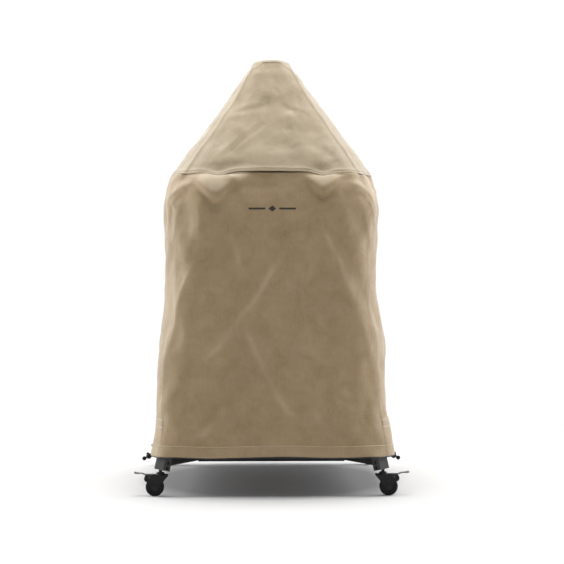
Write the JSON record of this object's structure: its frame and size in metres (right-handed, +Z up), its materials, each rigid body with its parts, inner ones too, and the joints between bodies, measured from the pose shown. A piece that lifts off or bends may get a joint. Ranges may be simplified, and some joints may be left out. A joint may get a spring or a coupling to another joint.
{
  "type": "grill cover",
  "caption": "Full-length beige canvas cover with a pointed four-sided roof, sewn crown, hem drawcord with ball locks, on its black wheeled stand with braked casters.",
  "frame": {"origin": "centre of the footprint on the floor", "axes": "+Z up, the front of the cover faces -Y, +X to the right seen from the front"},
  "size_m": [0.988, 0.893, 1.625],
  "materials": {
    "canvas_roof": "woven canvas",
    "canvas_body": "woven canvas",
    "canvas_tape": "woven tape",
    "canvas_band": "woven canvas",
    "drawcord": "braided elastic cord",
    "cord_fittings": "gloss",
    "frame_steel": "black powder coat",
    "leg_steel": "black powder coat",
    "black_hardware": "black oxide",
    "caster_black": "black",
    "caster_hub": "matte",
    "tyre": "matte rubber",
    "zinc": "zinc plated"
  },
  "bodies": {
    "stand": {"base_cross_rails": "frame_steel", "base_side_rails": "frame_steel", "arm_front_left": "frame_steel", "arm_front_right": "frame_steel", "arm_rear_left": "frame_steel", "arm_rear_right": "frame_steel", "leg_front_left": "leg_steel", "leg_front_right": "leg_steel", "leg_rear_left": "leg_steel", "leg_rear_right": "leg_steel", "leg_bolts": "black_hardware", "top_frame": "frame_steel", "deck": "frame_steel", "caster_studs": "zinc"},
    "cover": {"crown_cap": "canvas_roof", "crown_binding": "canvas_tape", "cone_front": "canvas_roof", "cone_right": "canvas_roof", "cone_rear": "canvas_roof", "cone_left": "canvas_roof", "ridge_tapes": "canvas_tape", "shoulder_binding": "canvas_tape", "body_front": "canvas_body", "body_right": "canvas_body", "body_rear": "canvas_body", "body_left": "canvas_body", "corner_tapes": "canvas_tape", "hem_band": "canvas_tape", "side_bands": "canvas_band", "cord_eyelets": "cord_fittings", "hem_drawcord": "drawcord", "cord_tail_left": "drawcord", "cord_tail_right": "drawcord", "cord_end_left": "cord_fittings", "cord_end_right": "cord_fittings", "cord_lock_left": "cord_fittings", "cord_lock_right": "cord_fittings"},
    "lock_button_left": {"lock_button_left": "cord_fittings"},
    "lock_button_right": {"lock_button_right": "cord_fittings"},
    "caster_front_left": {"fork_front_left": "caster_black", "axle_front_left": "black_hardware"},
    "wheel_front_left": {"hub_front_left": "caster_hub", "tyre_front_left": "tyre"},
    "brake_front_left": {"brake_front_left": "zinc"},
    "caster_front_right": {"fork_front_right": "caster_black", "axle_front_right": "black_hardware"},
    "wheel_front_right": {"hub_front_right": "caster_hub", "tyre_front_right": "tyre"},
    "brake_front_right": {"brake_front_right": "zinc"},
    "caster_rear_left": {"fork_rear_left": "caster_black", "axle_rear_left": "black_hardware"},
    "wheel_rear_left": {"hub_rear_left": "caster_hub", "tyre_rear_left": "tyre"},
    "brake_rear_left": {"brake_rear_left": "zinc"},
    "caster_rear_right": {"fork_rear_right": "caster_black", "axle_rear_right": "black_hardware"},
    "wheel_rear_right": {"hub_rear_right": "caster_hub", "tyre_rear_right": "tyre"},
    "brake_rear_right": {"brake_rear_right": "zinc"}
  },
  "joints": [
    {"name": "cover_lift", "type": "slide", "parent": "stand", "child": "cover", "axis": [0, 0, 1], "range_m": [0, 0.9]},
    {"name": "lock_button_left_press", "type": "slide", "parent": "cover", "child": "lock_button_left", "axis": [0.454, 0, -0.891], "range_m": [0, 0.003], "stiffness_N_per_m": 600, "springref_m": -0.004},
    {"name": "lock_button_right_press", "type": "slide", "parent": "cover", "child": "lock_button_right", "axis": [-0.454, 0, -0.891], "range_m": [0, 0.003], "stiffness_N_per_m": 600, "springref_m": -0.004},
    {"name": "caster_front_left_swivel", "type": "hinge", "parent": "stand", "child": "caster_front_left", "pos_m": [-0.4, -0.402, 0.08], "axis": [0, 0, 1], "continuous": true},
    {"name": "wheel_front_left_roll", "type": "hinge", "parent": "caster_front_left", "child": "wheel_front_left", "pos_m": [-0.42, -0.402, 0.033], "axis": [0, 1, 0], "continuous": true},
    {"name": "brake_front_left_press", "type": "hinge", "parent": "caster_front_left", "child": "brake_front_left", "pos_m": [-0.439, -0.402, 0.069], "axis": [0, -1, 0], "range_deg": [0, 10]},
    {"name": "caster_front_right_swivel", "type": "hinge", "parent": "stand", "child": "caster_front_right", "pos_m": [0.4, -0.402, 0.08], "axis": [0, 0, 1], "continuous": true},
    {"name": "wheel_front_right_roll", "type": "hinge", "parent": "caster_front_right", "child": "wheel_front_right", "pos_m": [0.42, -0.402, 0.033], "axis": [0, 1, 0], "continuous": true},
    {"name": "brake_front_right_press", "type": "hinge", "parent": "caster_front_right", "child": "brake_front_right", "pos_m": [0.439, -0.402, 0.069], "axis": [0, 1, 0], "range_deg": [0, 10]},
    {"name": "caster_rear_left_swivel", "type": "hinge", "parent": "stand", "child": "caster_rear_left", "pos_m": [-0.4, 0.402, 0.08], "axis": [0, 0, 1], "continuous": true},
    {"name": "wheel_rear_left_roll", "type": "hinge", "parent": "caster_rear_left", "child": "wheel_rear_left", "pos_m": [-0.42, 0.402, 0.033], "axis": [0, 1, 0], "continuous": true},
    {"name": "brake_rear_left_press", "type": "hinge", "parent": "caster_rear_left", "child": "brake_rear_left", "pos_m": [-0.439, 0.402, 0.069], "axis": [0, -1, 0], "range_deg": [0, 10]},
    {"name": "caster_rear_right_swivel", "type": "hinge", "parent": "stand", "child": "caster_rear_right", "pos_m": [0.4, 0.402, 0.08], "axis": [0, 0, 1], "continuous": true},
    {"name": "wheel_rear_right_roll", "type": "hinge", "parent": "caster_rear_right", "child": "wheel_rear_right", "pos_m": [0.42, 0.402, 0.033], "axis": [0, 1, 0], "continuous": true},
    {"name": "brake_rear_right_press", "type": "hinge", "parent": "caster_rear_right", "child": "brake_rear_right", "pos_m": [0.439, 0.402, 0.069], "axis": [0, 1, 0], "range_deg": [0, 10]}
  ]
}
